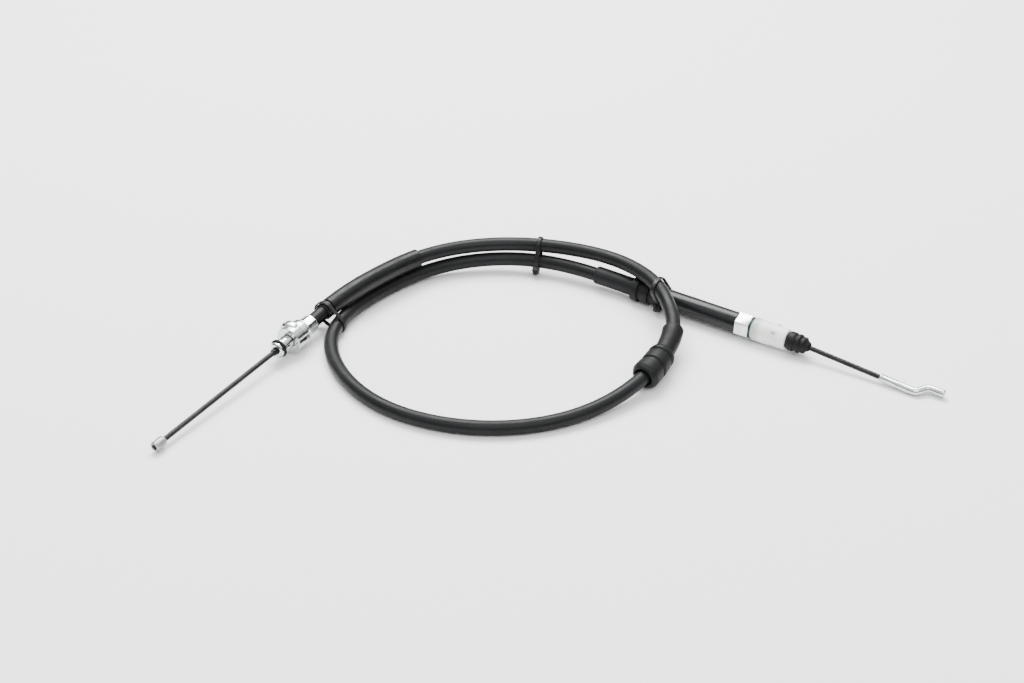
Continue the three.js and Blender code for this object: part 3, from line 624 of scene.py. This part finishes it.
def hull(points):
    """The outline round a set of points, anticlockwise."""
    pts = sorted(map(tuple, points))

    def half(items):
        out = []
        for p in items:
            while len(out) > 1 and ((out[-1][0] - out[-2][0])*(p[1] - out[-2][1])
                                    - (out[-1][1] - out[-2][1])*(p[0] - out[-2][0])) <= 1e-9:
                out.pop()
            out.append(p)
        return out[:-1]
    return half(pts) + half(pts[::-1])


def tie(name, members, azimuth, head_on, head_angle, node):
    """A band round several round members in an upright plane, with a head on one of them."""
    a = math.radians(azimuth)
    x = np.array([math.cos(a), math.sin(a), 0])
    y = np.array([0, 0, 1.0])
    normal = np.cross(x, y)
    origin = members[0][0]

    def spot(member, shift):
        centre, along, _ = member
        run = ((origin + normal*shift - centre) @ normal) / (along @ normal)
        p = centre + along*run - origin
        return np.array([p @ x, p @ y])

    def ellipse(member, shift, grow):
        centre, along, radius = member
        major = np.array([along @ x, along @ y])
        turn = math.atan2(major[1], major[0]) if np.linalg.norm(major) > 1e-6 else 0
        slant = abs(along @ normal)
        middle = spot(member, shift)
        out = []
        for k in range(72):
            t = 2*math.pi*k/72
            p, q = (radius/slant + grow)*math.cos(t), (radius + grow)*math.sin(t)
            out.append(middle + (p*math.cos(turn) - q*math.sin(turn), p*math.sin(turn) + q*math.cos(turn)))
        return out

    loops = []
    for grow in (TIE_SLACK, TIE_SLACK + TIE_THICK):
        points = [p for m in members for s in (-TIE_WIDE/2, 0, TIE_WIDE/2) for p in ellipse(m, s, grow)]
        line = np.array(hull(points))
        line = np.vstack([line, line[:1]])
        runs = np.r_[0, np.cumsum(np.linalg.norm(np.diff(line, axis=0), axis=1))]
        t = np.linspace(0, runs[-1], 121)[:-1]
        loops.append(np.stack([np.interp(t, runs, line[:, k]) for k in (0, 1)], -1))
    inner = loops[0]
    outward = np.roll(inner, -1, 0) - np.roll(inner, 1, 0)
    outward = np.stack([outward[:, 1], -outward[:, 0]], -1)
    outward /= np.linalg.norm(outward, axis=1)[:, None]
    w, c = TIE_WIDE/2, 0.25
    section = [(0, -w + c), (c, -w), (TIE_THICK - c, -w), (TIE_THICK, -w + c), (TIE_THICK, w - c),
               (TIE_THICK - c, w), (c, w), (0, w - c)]

    def to_world(p, d):
        return tuple((origin + x*p[0] + y*p[1] + normal*d)*MM)

    rings = [[to_world(p + o*t, d) for t, d in section] for p, o in zip(inner, outward)]
    parts = [grid_mesh(rings)]
    h = math.radians(head_angle)
    out, across = np.array([math.cos(h), math.sin(h)]), np.array([-math.sin(h), math.cos(h)])
    start = spot(members[head_on], 0) + out*(members[head_on][2] + TIE_SLACK)
    square = rounded([(-1, -1), (1, -1), (1, 1), (-1, 1)], 0.35, 3)

    def block(depths, half_a, half_b, shift=0.0):
        return capped([[to_world(start + out*d + across*(half_a*s*p + shift), half_b*s*q) for p, q in square]
                       for d, s in depths])
    parts.append(block(((0.1, 0.95), (0.4, 1.0), (3.9, 1.0), (4.3, 0.86)), 2.6, 2.5))
    parts.append(block(((3.9, 1.0), (6.2, 1.0), (6.3, 0.9)), 0.55, 1.5, -0.4))
    return finish_mesh(name, *join_parts(parts), "casing_assembly", [node], "tie", TIE)


def strand(run, radius=CASING_RADIUS):
    """A round member that a tie holds: the casing at a run."""
    centre, _, _, along = CASING.at(run)
    return centre, along, radius


tie("tie_back", [strand(218), strand(906)], azimuth=75, head_on=1, head_angle=215, node="cable_tie_back")
tie("tie_left", [strand(35.8, 6.1), strand(733)], azimuth=-29, head_on=0, head_angle=235,
    node="cable_tie_left")
tie("tie_right", [strand(325), (BRAKE.origin, BRAKE.along, 7.4)], azimuth=55.5, head_on=1, head_angle=200,
    node="cable_tie_right")

# The casing's centre line as a list of points, in metres

path = [tuple(CASING.at(run)[0]*MM) for run in casing_runs]

# Table and light

TABLE_CORNERS = [(-6, -4, 0), (6, -4, 0), (6, 8, 0), (-6, 8, 0)]
GLOW = (("From Min", 0.2), ("From Max", 0.75), ("To Min", 0.04), ("To Max", 1.95))


def table_material():
    m = Nodes("table")
    m.set(Base_Color=m.mix(m.noise(2, 2), (0.9, 0.9, 0.9), (0.91, 0.91, 0.91)), Roughness=0.8,
          Specular_IOR_Level=0.1)
    return m.material


def lay_table():
    mesh = bpy.data.meshes.new("table")
    mesh.from_pydata(TABLE_CORNERS, [], [(0, 1, 2, 3)])
    mesh.materials.append(table_material())
    table = bpy.data.objects.new("table", mesh)
    scene.collection.objects.link(table)


def light_world():
    """A world that is darkest below and grows brighter upwards."""
    world = bpy.data.worlds.new("world")
    scene.world = world
    world.use_nodes = True
    tree = world.node_tree
    back = tree.nodes["Background"]
    height = tree.nodes.new("ShaderNodeSeparateXYZ")
    tree.links.new(tree.nodes.new("ShaderNodeTexCoord").outputs["Generated"], height.inputs[0])
    glow = tree.nodes.new("ShaderNodeMapRange")
    for socket, value in GLOW:
        glow.inputs[socket].default_value = value
    tree.links.new(height.outputs["Z"], glow.inputs["Value"])
    back.inputs["Color"].default_value = (1, 1, 1, 1)
    tree.links.new(glow.outputs["Result"], back.inputs["Strength"])


def area(name, place, size, power):
    """A soft lamp of a width and a height that looks at the middle of the table."""
    lamp = bpy.data.lights.new(name, "AREA")
    lamp.shape = "RECTANGLE"
    lamp.size, lamp.size_y = size
    lamp.energy = power
    obj = bpy.data.objects.new(name, lamp)
    obj.location = place
    obj.rotation_euler = (-Vector(place)).to_track_quat("-Z", "Y").to_euler()
    scene.collection.objects.link(obj)


lay_table()
light_world()
area("key", (-0.15, 0.9, 1.5), (1.4, 0.9), 84)
area("fill", (0.2, -1.3, 1.6), (1.6, 1.2), 22)
